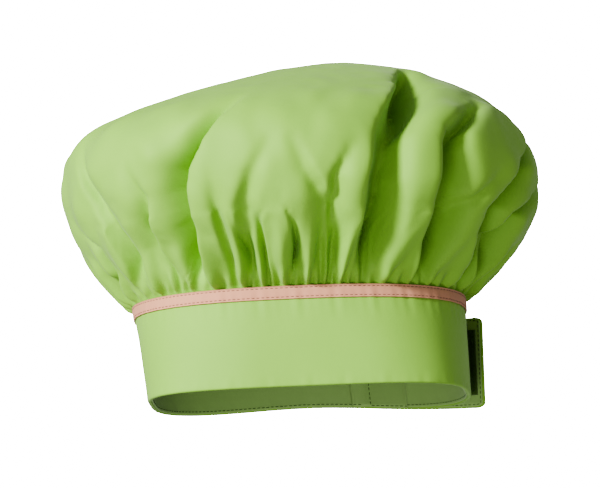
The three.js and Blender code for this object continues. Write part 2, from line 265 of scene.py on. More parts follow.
def thread(name, colour):
    made = bpy.data.materials.new(name)
    made.use_nodes = True
    tree = made.node_tree
    shader = tree.nodes["Principled BSDF"]
    place = node(tree, "ShaderNodeTexCoord")
    twist = node(
        tree,
        "ShaderNodeTexWave",
        {"Vector": place.outputs["Object"], "Scale": 900.0, "Distortion": 2.0},
        bands_direction="DIAGONAL",
    ).outputs["Fac"]
    shade = node(
        tree,
        "ShaderNodeHueSaturation",
        {
            "Color": (*colour, 1.0),
            "Value": math_node(tree, "ADD", math_node(tree, "MULTIPLY", twist, 0.3), 0.85),
        },
    )
    tree.links.new(shade.outputs["Color"], shader.inputs["Base Color"])
    rough = math_node(tree, "ADD", math_node(tree, "MULTIPLY", twist, 0.2), 0.5)
    tree.links.new(rough, shader.inputs["Roughness"])
    relief = node(tree, "ShaderNodeBump", {"Height": twist, "Strength": 0.5, "Distance": 0.05 * MM})
    tree.links.new(relief.outputs["Normal"], shader.inputs["Normal"])
    return made


def fleece(name, colour, scale=1400.0, roughness=0.95):
    """Non-woven interlining or nylon pile: fine fibres with no direction."""
    made = bpy.data.materials.new(name)
    made.use_nodes = True
    tree = made.node_tree
    shader = tree.nodes["Principled BSDF"]
    place = node(tree, "ShaderNodeTexCoord")
    fibres = node(
        tree,
        "ShaderNodeTexNoise",
        {"Vector": place.outputs["Object"], "Scale": scale, "Detail": 5.0, "Distortion": 1.5},
    ).outputs["Fac"]
    shade = node(
        tree,
        "ShaderNodeHueSaturation",
        {
            "Color": (*colour, 1.0),
            "Value": math_node(tree, "ADD", math_node(tree, "MULTIPLY", fibres, 0.6), 0.7),
        },
    )
    tree.links.new(shade.outputs["Color"], shader.inputs["Base Color"])
    rough = math_node(tree, "ADD", math_node(tree, "MULTIPLY", fibres, 0.1), roughness - 0.05)
    tree.links.new(rough, shader.inputs["Roughness"])
    relief = node(tree, "ShaderNodeBump", {"Height": fibres, "Strength": 0.6, "Distance": 0.15 * MM})
    tree.links.new(relief.outputs["Normal"], shader.inputs["Normal"])
    shader.inputs["Sheen Weight"].default_value = 0.3
    return made


def srgb(red, green, blue):
    """A linear colour from 8-bit sRGB numbers."""
    channels = np.array([red, green, blue]) / 255
    curved = ((channels + 0.055) / 1.055) ** 2.4
    return tuple(float(c) for c in np.where(channels <= 0.04045, channels / 12.92, curved))


CLOTH = fabric("green_polycotton", srgb(142, 188, 82), 0.55 * MM, sheen=0.12, spread=0.2)
# The lining is the inner cloth of the band and the tail. It is coloured paler than the outer cloth as
# painted light that brightens the hat's inside.
LINING_PAINTED_LIGHTER = fabric("green_lining_painted_lighter", srgb(162, 194, 122), 0.55 * MM, sheen=0.2)
TAPE = fabric("rose_twill_tape", srgb(204, 150, 124), 0.7 * MM, sheen=0.1, twill=True, roughness=0.7)
ROSE_THREAD = thread("rose_thread", srgb(128, 88, 76))
GREEN_THREAD = thread("green_thread", srgb(70, 104, 46))
BUCKRAM = fleece("white_buckram", srgb(236, 233, 222))
# The hook and loop strips are real parts, but their dark olive pile is also painted shade, standing for the
# shade on the tail's inner face.
PILE_WITH_PAINTED_SHADE = fleece("olive_pile_with_painted_shade", srgb(76, 104, 40), 2200.0)


def finish_piece(piece, body, slot, material, *nodes):
    piece.data.materials.clear()
    piece.data.materials.append(material)
    if body:
        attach(piece, body)
    if nodes:
        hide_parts(*nodes)
    return piece


# ---------------------------------------------------------------- camera, light and floor

VIEW_AZIMUTH, VIEW_ELEVATION, VIEW_ROLL = 4.0, -9.3, -1.9
VIEW_DISTANCE = 3.0
FRAME_WIDTH = 363.6 * MM  # what the picture's width covers at the hat
AIM = Vector((-1.5 * MM, 0.0, 97.0 * MM))

BACKGROUND = 9.0  # the surround as the camera sees it; FILL is the light it gives
KEY_PLACE = (-1.5, -1.8, 0.9)
FILL = 0.37
KEY_POWER = 82.0
EXPOSURE = -0.06
LOW_PLACE = (-0.3, -1.4, -0.75)
LOW_POWER = 7.0


def add_camera():
    camera = bpy.data.cameras.new("camera")
    eye = bpy.data.objects.new("camera", camera)
    bpy.context.scene.collection.objects.link(eye)
    bpy.context.scene.camera = eye
    a, e = VIEW_AZIMUTH * DEG, VIEW_ELEVATION * DEG
    back = Vector((math.sin(a) * math.cos(e), -math.cos(a) * math.cos(e), math.sin(e)))
    eye.location = AIM + back * VIEW_DISTANCE
    level = back.to_track_quat("Z", "Y")
    eye.rotation_euler = (level @ Quaternion((0, 0, 1), VIEW_ROLL * DEG)).to_euler()
    camera.sensor_width = 36
    camera.lens = 36 * VIEW_DISTANCE / FRAME_WIDTH


def add_light(name, place, power, size, target=(0, 0, 0.11)):
    light = bpy.data.lights.new(name, "AREA")
    light.energy = power
    light.size = size
    lamp = bpy.data.objects.new(name, light)
    bpy.context.scene.collection.objects.link(lamp)
    lamp.location = place
    lamp.rotation_euler = (Vector(target) - Vector(place)).to_track_quat("-Z", "Y").to_euler()


def add_stage():
    """A white surround, a soft key light from the upper left, and a floor that is clear from below."""
    world = bpy.data.worlds.new("studio")
    bpy.context.scene.world = world
    world.use_nodes = True
    tree = world.node_tree
    surround = tree.nodes["Background"]
    path = node(tree, "ShaderNodeLightPath")
    strength = math_node(
        tree, "ADD", math_node(tree, "MULTIPLY", path.outputs["Is Camera Ray"], BACKGROUND - FILL), FILL
    )
    surround.inputs["Color"].default_value = (1, 1, 1, 1)
    tree.links.new(strength, surround.inputs["Strength"])
    add_light("key", KEY_PLACE, KEY_POWER, 0.5)
    add_light("low", LOW_PLACE, LOW_POWER, 0.6, target=(0, 0, 0.03))
    bpy.context.scene.view_settings.view_transform = "AgX"
    bpy.context.scene.view_settings.look = "AgX - High Contrast"
    bpy.context.scene.view_settings.exposure = EXPOSURE

    half = 3.0
    corners = [(-half, -half, 0), (half, -half, 0), (half, half, 0), (-half, half, 0)]
    floor = new_object("floor", corners, [(0, 1, 2, 3)], smooth_faces=False)
    made = bpy.data.materials.new("floor")
    made.use_nodes = True
    floor_tree = made.node_tree
    shader = floor_tree.nodes["Principled BSDF"]
    shader.inputs["Base Color"].default_value = (0.86, 0.86, 0.85, 1)
    shader.inputs["Roughness"].default_value = 0.8
    clear = node(floor_tree, "ShaderNodeBsdfTransparent")
    side = node(floor_tree, "ShaderNodeNewGeometry")
    both = node(
        floor_tree,
        "ShaderNodeMixShader",
        {0: side.outputs["Backfacing"], 1: shader.outputs[0], 2: clear.outputs[0]},
    )
    floor_tree.links.new(both.outputs[0], floor_tree.nodes["Material Output"].inputs["Surface"])
    floor.data.materials.append(made)
    floor.visible_diffuse = False
    floor.visible_glossy = False
    floor.visible_shadow = False


# ---------------------------------------------------------------- band


BAND_LENGTH = even_angles(BAND_START, BAND_END, 1 * MM)[1][-1]
LEAD_IN = 6 * MM  # how far before the band's end its cloth hands over to the tail's
BAND_STOP = even_angles(BAND_END, BAND_START, 0.05 * MM)[0][int(LEAD_IN / (0.05 * MM))]


def band_ripple(along, height):
    """How far the band's cloth stands off its true surface: soft waves, and puckers by the stitching."""
    soft = waves(along, 3, [(0.190, 0.5 * MM), (0.083, 0.35 * MM), (0.041, 0.12 * MM)])
    soft = soft * np.sin(np.pi * np.clip(height / TAPE_LOW, 0.04, 1.0)) ** 0.6
    pucker = waves(along, 4, [(0.0065, 0.10 * MM), (0.0093, 0.10 * MM), (0.0151, 0.12 * MM)])
    by_tape = smooth(height, 36 * MM, TAPE_LOW) * (1 - 0.7 * smooth(height, TAPE_LOW, BAND_HEIGHT))
    by_hem = 1 - smooth(height, 1 * MM, 9 * MM)
    level = 1 - smooth(along, BAND_LENGTH - 26 * MM, BAND_LENGTH - LEAD_IN)
    return level * (soft + pucker * (by_tape + 0.7 * by_hem))


def sheet_size(far, girth):
    """The flat size of a thin closed section's cloth: half its girth by its length."""
    return float(girth[-1] / 2), float(far[-1] - far[0])


def wrap(name, section, step=1.6 * MM):
    """Cloth of a closed (offset, height) section round the band, and its flat size."""
    degrees, along = even_angles(BAND_START, BAND_STOP, step)
    offset = section[:, 0][None, :] + band_ripple(along[:, None], section[:, 1][None, :])
    rings = band_point(degrees[:, None], offset, section[:, 1][None, :])
    girth = np.concatenate([[0], np.cumsum(np.linalg.norm(np.diff(section, axis=0), axis=1))])
    uv = np.stack(np.broadcast_arrays(along[:, None], girth[None, :]), -1).reshape(-1, 2)
    return loft(name, rings, uv=uv), sheet_size(along, girth)


def make_band():
    outer = outline(
        [
            run((0, 60), (0, 1.15), 34),
            arc((-1.15, 1.15), 1.15, 0, -180, 9),
            run((-2.3, 1.15), (-2.3, 4.6), 4),
            arc((-2.05, 4.6), 0.25, 180, 0, 4),
            run((-1.8, 4.6), (-1.8, 1.5), 3),
            arc((-1.2, 1.3), (0.6, 0.6), 180, 360, 5),
            run((-0.6, 1.5), (-0.6, 60), 24),
            arc((-0.3, 60), (0.3, 0.2), 180, 0, 4),
        ]
    )
    cloth, flat = wrap("band_cloth", outer)
    finish_piece(cloth, "hat", "cloth", CLOTH, "band_outer")
    inner = outline(
        [
            run((-3.15, 60), (-3.15, 1.3), 34),
            arc((-2.78, 1.3), (0.37, 0.4), 180, 360, 6),
            run((-2.41, 1.4), (-2.41, 8), 4),
            run((-2.5, 8.4), (-2.55, 60), 24),
            arc((-2.85, 60), (0.3, 0.2), 0, 180, 4),
        ]
    )
    lining, flat = wrap("band_lining_cloth", inner)
    finish_piece(lining, "hat", "lining_cloth", LINING_PAINTED_LIGHTER, "band_lining")
    core = outline([run((-0.95, 51), (-0.95, 1.6), 20), run((-1.7, 1.6), (-1.7, 51), 20)])
    buckram, flat = wrap("band_buckram", core)
    finish_piece(buckram, "hat", "interlining", BUCKRAM, "band_interlining")


# ---------------------------------------------------------------- tape and stitching

STITCH_PITCH = 2.9 * MM
STITCH_LENGTH = 2.1 * MM
THREAD_RADIUS = 0.21 * MM
TAPE_STITCH_IN = 1.3 * MM  # from the tape's edge
TAPE_STITCH_OUT = 0.82 * MM
HEM_STITCH_HEIGHT = 2.4 * MM


def make_tape():
    low, high = TAPE_LOW / MM, TAPE_HIGH / MM
    section = outline(
        [
            run((0.95, high - 0.3), (0.95, low + 0.3), 16),
            arc((0.6, low + 0.3), (0.35, 0.3), 0, -180, 6),
            run((0.25, low + 0.3), (0.25, high - 0.3), 8),
            arc((0.6, high - 0.3), (0.35, 0.3), 180, 0, 6),
        ]
    )
    degrees, along = even_angles(BAND_START, BAND_END, 0.72 * MM)
    heights = section[:, 1][None, :]
    offset = section[:, 0][None, :] + band_ripple(along[:, None], heights)
    facing = (section[:, 0] > 0.6 * MM)[None, :]
    for row in (TAPE_LOW + TAPE_STITCH_IN, TAPE_HIGH - TAPE_STITCH_IN):
        near = np.exp(-(((heights - row) / (0.45 * MM)) ** 2))
        pull = 0.5 + 0.5 * np.cos(2 * np.pi * along[:, None] / STITCH_PITCH)
        offset = offset - facing * near * (0.10 * MM + 0.16 * MM * pull)
    rings = band_point(degrees[:, None], offset, heights)
    girth = np.concatenate([[0], np.cumsum(np.linalg.norm(np.diff(section, axis=0), axis=1))])
    uv = np.stack(np.broadcast_arrays(along[:, None], girth[None, :]), -1).reshape(-1, 2)
    tape = finish_piece(loft("rose_tape", rings, uv=uv), "hat", "tape_cloth", TAPE, "contrast_tape")


def stitch_row(name, at, length, pitch=STITCH_PITCH, stitch=STITCH_LENGTH, radius=THREAD_RADIUS):
    """Separate stitches along a line. at(distance) gives points, and the outward directions there."""
    sides, spans = 7, 7
    points, faces = [], []
    count = int(length // pitch)
    for index in range(count):
        start = (index + 0.5) * length / count - stitch / 2
        t = np.linspace(0, 1, spans)
        centre, out = at(start + t * stitch)
        centre = centre + out * (0.55 * radius * np.sin(np.pi * t) ** 0.7 - 0.5 * radius)[:, None]
        direction = np.gradient(centre, axis=0)
        direction /= np.linalg.norm(direction, axis=1)[:, None]
        side = np.cross(direction, out)
        side /= np.linalg.norm(side, axis=1)[:, None]
        up = np.cross(side, direction)
        thick = radius * (0.35 + 0.65 * np.sin(np.pi * np.clip(t, 0.03, 0.97)) ** 0.5)
        base = len(points)
        for i in range(spans):
            for j in range(sides):
                turn = 2 * math.pi * j / sides
                points.append(centre[i] + thick[i] * (math.cos(turn) * side[i] + math.sin(turn) * up[i]))
        for i in range(spans - 1):
            for j in range(sides):
                a, b = base + i * sides, base + (i + 1) * sides
                k = (j + 1) % sides
                faces.append((a + j, a + k, b + k, b + j))
        faces.append(tuple(base + j for j in range(sides))[::-1])
        faces.append(tuple(base + (spans - 1) * sides + j for j in range(sides)))
    return new_object(name, points, faces)


def on_band(offset, height, facing):
    """A line along the band for stitch_row: its function of distance, and its length."""
    degrees, along = even_angles(BAND_START, BAND_END, 0.5 * MM)

    def at(distance):
        angle = np.interp(distance, along, degrees)
        lift = offset + band_ripple(distance, np.full_like(angle, height))
        here = band_point(angle, lift, height)
        out = band_point(angle, lift + 1 * MM, height) - here
        return here, facing * out / np.linalg.norm(out, axis=1)[:, None]

    return at, along[-1]


def make_band_stitching():
    rows = (
        ("tape_lower_stitch", TAPE_STITCH_OUT, TAPE_LOW + TAPE_STITCH_IN, 1.0),
        ("tape_upper_stitch", TAPE_STITCH_OUT, TAPE_HIGH - TAPE_STITCH_IN, 1.0),
        ("hem_stitch", INNER_FACE - 0.05 * MM, HEM_STITCH_HEIGHT, -1.0),
    )
    for replaced, offset, height, facing in rows:
        material, slot = (ROSE_THREAD, "tape_thread") if facing > 0 else (GREEN_THREAD, "green_thread")
        at, length = on_band(offset, height, facing)
        finish_piece(stitch_row(replaced + "es", at, length), "hat", slot, material, replaced)


# ---------------------------------------------------------------- tail

MIDDLE = INNER_FACE / 2
TAIL_PATH = HINGE_GAP + TAIL_LENGTH


def hinge_place():
    before = band_point(BAND_END + 1, MIDDLE, BAND_HEIGHT / 2)
    end = band_point(BAND_END, MIDDLE, BAND_HEIGHT / 2)
    return end + (end - before) / np.linalg.norm(end - before) * HINGE_GAP / 2


def tail_point(along, offset, share):
    """Points of the tail: share of its length, offset out from its outer face, and share of its height."""
    along, offset, share = np.broadcast_arrays(along, offset, share)
    start = TAIL_START * DEG
    heading = lerp(TAIL_START, TAIL_END, along) * DEG
    bend = TAIL_LENGTH / ((TAIL_START - TAIL_END) * DEG)
    corner = np.maximum(0.0, TAIL_CORNER - (1 - along) * TAIL_LENGTH)
    trim = CORNER_SHARE * (TAIL_CORNER - np.sqrt(np.maximum(0.0, TAIL_CORNER**2 - corner**2)))
    low = TAIL_CLEARANCE + TAIL_FOOT_RISE * (1 - along) + trim
    z = lerp(low, TAIL_TOP - trim, share)
    lean = band_point(BAND_END, MIDDLE, z) - band_point(BAND_END, MIDDLE, BAND_HEIGHT / 2)
    lean = lean * np.maximum(0.0, 1 - along)[..., None]
    root = hinge_place() + np.array([math.cos(start), math.sin(start), 0.0]) * HINGE_GAP / 2
    out = offset - MIDDLE
    x = root[0] + lean[..., 0] + bend * (math.sin(start) - np.sin(heading)) - np.sin(heading) * out
    y = root[1] + lean[..., 1] + bend * (np.cos(heading) - math.cos(start)) + np.cos(heading) * out
    return np.stack([x, y, z], -1)


def path_point(far, offset, share):
    """Points along the band's last millimetres, round the hinge and out along the tail."""
    far, offset, share = np.broadcast_arrays(far, offset, share)
    degrees, along = even_angles(BAND_END, BAND_END + 12, 0.25 * MM)
    on_band = band_point(np.interp(np.maximum(-far, 0), along, degrees), offset, share * BAND_HEIGHT)
    on_tail = tail_point(np.clip((far - HINGE_GAP) / TAIL_LENGTH, 0, 1), offset, share)
    a = band_point(BAND_END, offset, share * BAND_HEIGHT)
    b = tail_point(0.0, offset, share)
    step = 0.5 * DEG
    before = a - band_point(BAND_END + step / DEG, offset, share * BAND_HEIGHT)
    after = tail_point(0.01, offset, share) - b
    gap = np.linalg.norm(b - a, axis=-1)[..., None]
    before = before / np.linalg.norm(before, axis=-1)[..., None] * gap
    after = after / np.linalg.norm(after, axis=-1)[..., None] * gap
    t = np.clip(far / HINGE_GAP, 0, 1)[..., None]
    bridge = (2 * t**3 - 3 * t**2 + 1) * a + (t**3 - 2 * t**2 + t) * before
    bridge = bridge + (3 * t**2 - 2 * t**3) * b + (t**3 - t**2) * after
    points = np.where(far[..., None] < 0, on_band, np.where(far[..., None] > HINGE_GAP, on_tail, bridge))
    level = 1 - smooth(far, -LEAD_IN, 2.5 * HINGE_GAP)
    top = lerp(TAIL_TOP, BAND_HEIGHT, level)
    low = np.minimum(points[..., 2], 8 * MM)
    full = np.where(far < HINGE_GAP / 2, BAND_HEIGHT, TAIL_TOP)
    stretch = (points[..., 2] - low) / np.maximum(full - low, MM)
    points[..., 2] = np.where(points[..., 2] > low, low + stretch * (top - low), points[..., 2])
    return points


def tail_ripple(far, share):
    """Soft waves over the tail, and small puckers along its edge stitching."""
    soft = waves(far, 7, [(0.061, 0.5 * MM), (0.033, 0.2 * MM)]) * np.sin(np.pi * np.clip(share, 0, 1))
    pucker = waves(far, 8, [(0.0068, 0.12 * MM), (0.0103, 0.12 * MM)])
    at_edge = np.exp(-((np.minimum(share, 1 - share) / 0.05) ** 2))
    return (soft + pucker * at_edge) * smooth(far, HINGE_GAP, 5 * HINGE_GAP)


def tail_loft(name, section, start, end, tip=1.2 * MM, step=1.2 * MM):
    """Cloth of a closed (offset, share) section along the tail's path, with a rounded tip."""
    far = np.linspace(start, end - tip, int((end - tip - start) / step) + 2)
    thin = np.ones_like(far)
    turns = np.linspace(0, 82, 7)[1:] * DEG
    far = np.concatenate([far, end - tip + tip * np.sin(turns)])
    thin = np.concatenate([thin, np.cos(turns)])
    middle = (section[:, 0].max() + section[:, 0].min()) / 2
    offset = middle + (section[:, 0] - middle)[None, :] * thin[:, None]
    share = section[:, 1][None, :] + np.zeros_like(offset)
    offset = offset + tail_ripple(far[:, None], share)
    rings = path_point(far[:, None], offset, share)
    girth = np.concatenate([[0], np.cumsum(np.linalg.norm(np.diff(rings[0], axis=0), axis=1))])
    uv = np.stack(np.broadcast_arrays(far[:, None], girth[None, :]), -1)
    return loft(name, rings, uv=uv.reshape(-1, 2)), sheet_size(far, girth)


def share_outline(parts):
    """An outline with offsets in metres and heights as shares of the tail's height."""
    section = outline(parts)
    section[:, 1] = section[:, 1] / TAIL_TOP
    return section


def bend_at_hinge(piece):
    hinge = hinge_place()
    ahead = path_point(HINGE_GAP + 2 * MM, MIDDLE, 0.5) - path_point(-2 * MM, MIDDLE, 0.5)
    ahead = ahead / np.linalg.norm(ahead) * 4 * MM
    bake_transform(piece)


def make_tail():
    bag = share_outline(
        [
            run((0, 55.6), (0, 1.4), 30),
            arc((-1.2, 1.4), (1.2, 1.4), 0, -180, 9),
            run((-2.4, 1.4), (-2.4, 55.6), 20),
            arc((-1.2, 55.6), (1.2, 1.4), 180, 0, 9),
        ]
    )
    cloth, flat = tail_loft("tail_cloth", bag, -LEAD_IN, TAIL_PATH)
    finish_piece(cloth, None, "cloth", CLOTH, "tail_outer")
    bend_at_hinge(cloth)
    inner = share_outline(
        [
            run((-3.15, 1.5), (-3.15, 55.5), 30),
            arc((-2.78, 55.5), (0.37, 0.5), 180, 0, 7),
            run((-2.41, 55.5), (-2.41, 1.5), 20),
            arc((-2.78, 1.5), (0.37, 0.5), 0, -180, 7),
        ]
    )
    lining, flat = tail_loft("tail_lining_cloth", inner, -LEAD_IN, TAIL_PATH - 0.9 * MM, tip=0.6 * MM)
    finish_piece(lining, None, "lining_cloth", LINING_PAINTED_LIGHTER, "tail_lining")
    bend_at_hinge(lining)
    edge = tail_box("tail_edge_stitches", 5.4 * MM, TAIL_PATH - 2 * MM, 2, 55, 0.05 * MM)
    finish_piece(edge, "tail", "green_thread", GREEN_THREAD, "tail_edge_stitch")


def tail_box(name, start, end, low, high, lift):
    """Stitches round a rectangle on the tail's inner face, low and high in millimetres."""
    level = np.array([low, high]) * MM / TAIL_TOP
    corners = [(start, level[0]), (end, level[0]), (end, level[1]), (start, level[1]), (start, level[0])]
    far = np.concatenate([np.linspace(a[0], b[0], 60) for a, b in zip(corners, corners[1:])])
    share = np.concatenate([np.linspace(a[1], b[1], 60) for a, b in zip(corners, corners[1:])])
    offset = INNER_FACE - lift + tail_ripple(far, share)
    line = path_point(far, offset, share)
    out = path_point(far, offset - 1 * MM, share) - line
    return stitch_row(name, *along_line(line, out))


def along_line(line, out):
    """A polyline for stitch_row: its function of distance, and its length."""
    steps = np.linalg.norm(np.diff(line, axis=0), axis=1)
    kept = np.concatenate([[True], steps > 1e-9])
    line, out = line[kept], out[kept]
    far = np.concatenate([[0], np.cumsum(np.linalg.norm(np.diff(line, axis=0), axis=1))])

    def at(distance):
        here = np.stack([np.interp(distance, far, line[:, k]) for k in range(3)], -1)
        facing = np.stack([np.interp(distance, far, out[:, k]) for k in range(3)], -1)
        return here, facing / np.linalg.norm(facing, axis=1)[:, None]

    return at, far[-1]


# ---------------------------------------------------------------- hook and loop

TUFT_HEIGHT = 0.9 * MM
BOX_STITCH_IN = 2 * MM


def pile_strip(name, at, length, height, tufts, seed, hooked):
    """A strip's backing with its pile: at(distance, height, out) gives points in metres."""
    rng = np.random.default_rng(seed)
    u, v = np.linspace(0, length, 40), np.linspace(0, height, 56)
    layers = []
    for out in (0.0, PILE_BASE):
        inset = 0.0 if out == 0 else 0.15 * MM
        uu = np.clip(u, inset, length - inset)
        vv = np.clip(v, inset, height - inset)
        rough = out + (0.08 * MM * rng.standard_normal((len(u), len(v))) if out else 0.0)
        layers.append(at(uu[:, None], vv[None, :], rough).reshape(-1, 3))
    points = [tuple(p) for layer in layers for p in layer]
    rows, columns, size = len(u), len(v), len(u) * len(v)
    faces = []
    for i in range(rows - 1):
        for j in range(columns - 1):
            a = i * columns + j
            faces.append((a, a + 1, a + columns + 1, a + columns))
            faces.append((size + a, size + a + columns, size + a + columns + 1, size + a + 1))
    rim = [i * columns for i in range(rows)] + [(rows - 1) * columns + j for j in range(1, columns)]
    rim += [i * columns + columns - 1 for i in range(rows - 2, -1, -1)] + list(range(columns - 2, 0, -1))
    for a, b in zip(rim, rim[1:] + rim[:1]):
        faces.append((a, b, size + b, size + a))
    bow = np.array([(0, 0, 0.0), (0.25, 0.1, 0.6), (0.6, 0.4, 1.0), (1.0, 1.0, 0.75 if hooked else 0.15)])
    foot = rng.uniform((0.6 * MM, 0.6 * MM), (length - 0.6 * MM, height - 0.6 * MM), (tufts, 2))
    lean = rng.uniform(-0.5, 0.5, (tufts, 2)) * MM
    place = foot[:, None, :] + lean[:, None, :] * bow[None, :, :2]
    side = np.array([-1, 0, 1])
    spread = 0.07 * MM * side
    lift = PILE_BASE + 0.75 * TUFT_HEIGHT * bow[:, 2][:, None] + np.where(side == 0, 0.05 * MM, 0.0)[None, :]
    u_of, v_of = place[..., 0][..., None] + spread, place[..., 1][..., None] - spread
    loops = at(u_of, v_of, np.broadcast_to(lift, u_of.shape)).reshape(-1, 3)
    first = len(points)
    points += [tuple(p) for p in loops]
    for index in range(tufts):
        base = first + 3 * len(bow) * index
        for k in range(len(bow) - 1):
            for j in range(3):
                a, b = base + 3 * k + j, base + 3 * k + (j + 1) % 3
                faces.append((a, b, b + 3, a + 3))
        faces.append((base + 2, base + 1, base))
        faces.append(tuple(base + 3 * (len(bow) - 1) + k for k in range(3)))
    return new_object(name, points, faces)


def make_closure():
    tall = STRIP_HIGH - STRIP_LOW
    degrees, along = even_angles(LOOP_FROM, LOOP_TO, 0.5 * MM)

    def on_loop(distance, height, out):
        distance, height, out = np.broadcast_arrays(distance, height, out)
        return band_point(np.interp(distance, along, degrees), 0.3 * MM + out, STRIP_LOW + height)

    loop = pile_strip("loop_pile", on_loop, along[-1], tall, 2600, 11, False)
    finish_piece(loop, "hat", "hook_and_loop", PILE_WITH_PAINTED_SHADE, "loop_strip")
    length = along[-1]
    near, far, low, high = BOX_STITCH_IN, length - BOX_STITCH_IN, BOX_STITCH_IN, tall - BOX_STITCH_IN
    corners = [(near, low), (far, low), (far, high), (near, high)]
    path = np.vstack([np.linspace(a, b, 60) for a, b in zip(corners, corners[1:] + corners[:1])])
    line = on_loop(path[:, 0], path[:, 1], 1.15 * MM)
    out = on_loop(path[:, 0], path[:, 1], 2.15 * MM) - line
    box = stitch_row("loop_stitches", *along_line(line, out))
    finish_piece(box, "hat", "green_thread", GREEN_THREAD, "loop_strip_stitch")

    hook_end = TAIL_PATH - HOOK_FROM_TIP
    hook_start = hook_end - HOOK_LENGTH

    def on_hook(distance, height, out):
        distance, height, out = np.broadcast_arrays(distance, height, out)
        share = (STRIP_LOW + height) / TAIL_TOP
        far = hook_start + distance
        return path_point(far, INNER_FACE - 0.1 * MM - out + tail_ripple(far, share), share)

    # The hook strip's dark pile is partly painted shade on the tail's inner face.
    hook = pile_strip("hook_pile", on_hook, HOOK_LENGTH, tall, 1500, 12, True)
    finish_piece(hook, "tail", "hook_and_loop", PILE_WITH_PAINTED_SHADE, "hook_strip")
    box = tail_box("hook_stitches", hook_start + BOX_STITCH_IN, hook_end - BOX_STITCH_IN, 10, 47, 1.2 * MM)
    finish_piece(box, "tail", "green_thread", GREEN_THREAD, "hook_strip_stitch")


# ---------------------------------------------------------------- crown


def bezier(points, count):
    a, b, c, d = (np.array(p, float) for p in points)
    t = np.linspace(0, 1, count)[:, None]
    return (1 - t) ** 3 * a + 3 * (1 - t) ** 2 * t * b + 3 * (1 - t) * t * t * c + t**3 * d


def crown_profile():
    """The crown's outline (radius, height) from its top to its seam, and the distance along it."""
    neck = RING_TOP[0] + SEAM_OFFSET
    slope_end = (105 * MM, 178 * MM)
    slope = bezier([(0, CROWN_TOP), (30 * MM, CROWN_TOP), (64 * MM, 196 * MM), slope_end], 200)
    shoulder = bezier([slope_end, (134 * MM, 165.3 * MM), (CROWN_A, 153 * MM), (CROWN_A, CROWN_WIDEST)], 200)
    under = bezier(
        [
            (CROWN_A, CROWN_WIDEST),
            (CROWN_A, CROWN_WIDEST - 36 * MM),
            (neck + 13 * MM, CROWN_NECK + 9.4 * MM),
            (neck, CROWN_NECK),
        ],
        300,
    )
    points = np.vstack([slope, shoulder[1:], under[1:], [(neck, CROWN_SEAM_END)]])
    far = np.concatenate([[0], np.cumsum(np.linalg.norm(np.diff(points, axis=0), axis=1))])
    return far, points


# The pleats of the crown, front first. Each is the line of its crest up the cloth, as (share of the
# way from the neck to the middle of the top, angle in degrees), then in millimetres how deep the
# cloth dips beside the crest, how far that dip spreads and how wide its wall is, and the side of the
# crest it lies on: 1 is anticlockwise.
PLEATS = (
    (
        ((0.02, -63), (0.14, -66), (0.27, -68), (0.39, -66), (0.46, -63), (0.67, -54), (0.77, -47)),
        26, 8, 17, 1,
    ),
    (((0.05, -42), (0.12, -45), (0.26, -48), (0.37, -47), (0.41, -45), (0.52, -31)), 22, 7, 18, 1),
    (((0.03, -38), (0.14, -38), (0.22, -38), (0.27, -34), (0.34, -27)), 10, 5, 8, 1),
    (((0.03, -20), (0.16, -28), (0.23, -29), (0.30, -23), (0.36, -17), (0.47, 0)), 20, 7, 16, 1),
    (((0.02, -11), (0.14, -18), (0.23, -17), (0.36, 4)), 17, 7, 14, 1),
    (((0.02, 10), (0.16, 3), (0.34, 12)), 13, 8, 11, 1),
    (((0.03, -74), (0.12, -76), (0.21, -78), (0.28, -78), (0.36, -73)), 10, 7, 8, 1),
    (
        ((0.02, -125), (0.10, -121), (0.17, -119), (0.25, -118), (0.31, -116), (0.35, -113), (0.48, -106)),
        23, 14, 7, -1,
    ),
    (((0.02, -134), (0.12, -135), (0.17, -134), (0.25, -131), (0.33, -134)), 11, 10, 5, -1),
    (((0.02, -154), (0.10, -150), (0.21, -150), (0.32, -154), (0.42, -159)), 9, 10, 6, 1),
    (((0.02, -164), (0.09, -158), (0.16, -157), (0.25, -166)), 8, 8, 4, -1),
    (((0.02, -98), (0.17, -98), (0.22, -95)), 8, 6, 4, -1),
    (((0.02, -89), (0.10, -88), (0.17, -89), (0.22, -92)), 8, 6, 4, 1),
    (((0.02, -114), (0.17, -113), (0.31, -111)), 7, 7, 5, 1),
    (((0.02, -106), (0.11, -108), (0.20, -108)), 6, 6, 5, 1),
    (((0.12, -108), (0.22, -105), (0.29, -101), (0.36, -96)), 7, 10, 11, 1),
    (((0.12, -72), (0.22, -76), (0.29, -82), (0.36, -86)), 8, 10, 11, -1),
    (((0.02, 33), (0.20, 30), (0.40, 26)), 11, 10, 6, 1),
    (((0.02, 52), (0.25, 50), (0.64, 42)), 19, 13, 7, 1),
    (((0.02, 68), (0.18, 66), (0.34, 66)), 9, 9, 6, -1),
    (((0.02, 86), (0.25, 88), (0.54, 94)), 16, 12, 7, 1),
    (((0.02, 104), (0.18, 104), (0.32, 100)), 9, 9, 6, 1),
    (((0.02, 121), (0.25, 124), (0.60, 128)), 17, 13, 7, -1),
    (((0.02, 139), (0.16, 142), (0.34, 140)), 9, 9, 6, 1),
    (((0.02, 157), (0.25, 158), (0.52, 166)), 15, 12, 7, -1),
    (((0.02, 178), (0.16, 179), (0.30, 184)), 9, 9, 6, -1),
)
PUCKERS = 84  # small gathers round the neck
PUCKER_DEPTH = 2.6 * MM
CLOTH_RINGS, CLOTH_SEGMENTS, CLOTH_SPACING = 84, 512, 2.6 * MM
GATHER_FRAMES, CLOTH_FRAMES = 8, 36
CREASES = 36  # waves that give the cloth its slack
CREASE_LENGTHS = (14, 46)  # millimetres
RIPPLE = 0.8 * MM
HOLD, FOLD_HOLD, RIM_HOLD = 0.2, 0.5, 0.5  # how firmly plain cloth, folds and the rim keep their place
BENDING = 5.0
PRESSURE = 1.5


